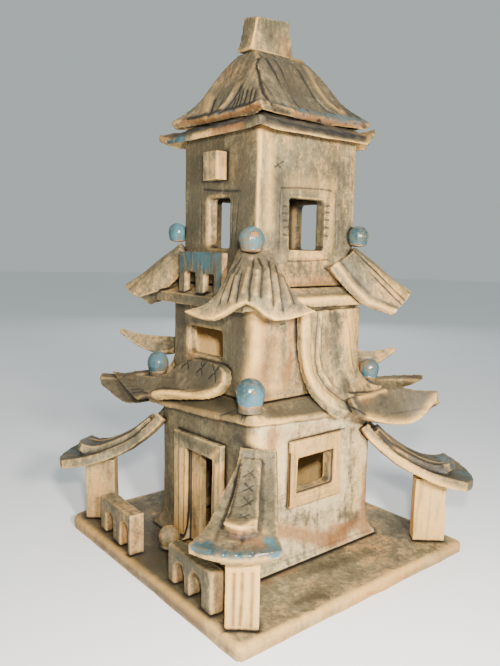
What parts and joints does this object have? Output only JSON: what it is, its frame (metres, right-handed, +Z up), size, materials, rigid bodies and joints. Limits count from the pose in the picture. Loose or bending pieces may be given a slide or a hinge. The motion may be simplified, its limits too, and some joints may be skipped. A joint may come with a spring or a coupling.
{
  "type": "ceramic pagoda ornament",
  "caption": "Hand-built stoneware pagoda ornament: stacked hollow storeys with upswept slab roofs, corner porches and blue-glazed beads on a square plate.",
  "frame": {"origin": "middle of the underside of the base plate", "axes": "+Z up, the door faces -Y, +X is the right of the door as seen from outside"},
  "size_m": [0.2252, 0.2252, 0.3486],
  "materials": {
    "stoneware": "bare buff clay with a thin dark wash",
    "dark_stoneware": "bare clay with a heavier grey-olive wash",
    "blue_glaze": "glossy pale blue glaze"
  },
  "bodies": {
    "root": {"balcony_panel": "blue_glaze", "base_plate": "stoneware", "bead_high_back": "blue_glaze", "bead_high_front": "blue_glaze", "bead_high_left": "blue_glaze", "bead_high_right": "blue_glaze", "bead_low_back": "blue_glaze", "bead_low_front": "blue_glaze", "bead_low_left": "blue_glaze", "bead_low_right": "blue_glaze", "curtain_left": "stoneware", "curtain_right": "stoneware", "door_bead": "blue_glaze", "door_frame": "dark_stoneware", "door_leaf": "stoneware", "eaves": "stoneware", "fan_back": "stoneware", "fan_front": "stoneware", "fence_left": "stoneware", "fence_right": "stoneware", "finial": "stoneware", "ground_wall_back": "stoneware", "ground_wall_door_left": "dark_stoneware", "ground_wall_door_lintel": "dark_stoneware", "ground_wall_door_right": "dark_stoneware", "ground_wall_left": "dark_stoneware", "ground_wall_right": "stoneware", "high_wing_back": "dark_stoneware", "high_wing_left": "dark_stoneware", "hood_left": "stoneware", "hood_right": "stoneware", "ledge": "stoneware", "middle_wall_back": "stoneware", "middle_wall_front": "dark_stoneware", "middle_wall_left": "dark_stoneware", "middle_wall_right": "stoneware", "porch_post_back": "stoneware", "porch_post_front": "stoneware", "porch_post_left": "stoneware", "porch_post_right": "stoneware", "porch_roof_back": "dark_stoneware", "porch_roof_front": "dark_stoneware", "porch_roof_left": "dark_stoneware", "porch_roof_right": "dark_stoneware", "roof_slab_back": "dark_stoneware", "roof_slab_front": "dark_stoneware", "roof_slab_left": "dark_stoneware", "roof_slab_right": "dark_stoneware", "skirt_roof": "stoneware", "swoop_back": "dark_stoneware", "swoop_front": "dark_stoneware", "upper_wall_back": "stoneware", "upper_wall_front": "dark_stoneware", "upper_wall_left": "dark_stoneware", "upper_wall_right": "stoneware", "wall_box_front": "dark_stoneware", "window_frame_left": "stoneware", "window_frame_right": "stoneware", "wing_left": "dark_stoneware", "wing_right": "dark_stoneware"}
  },
  "joints": []
}
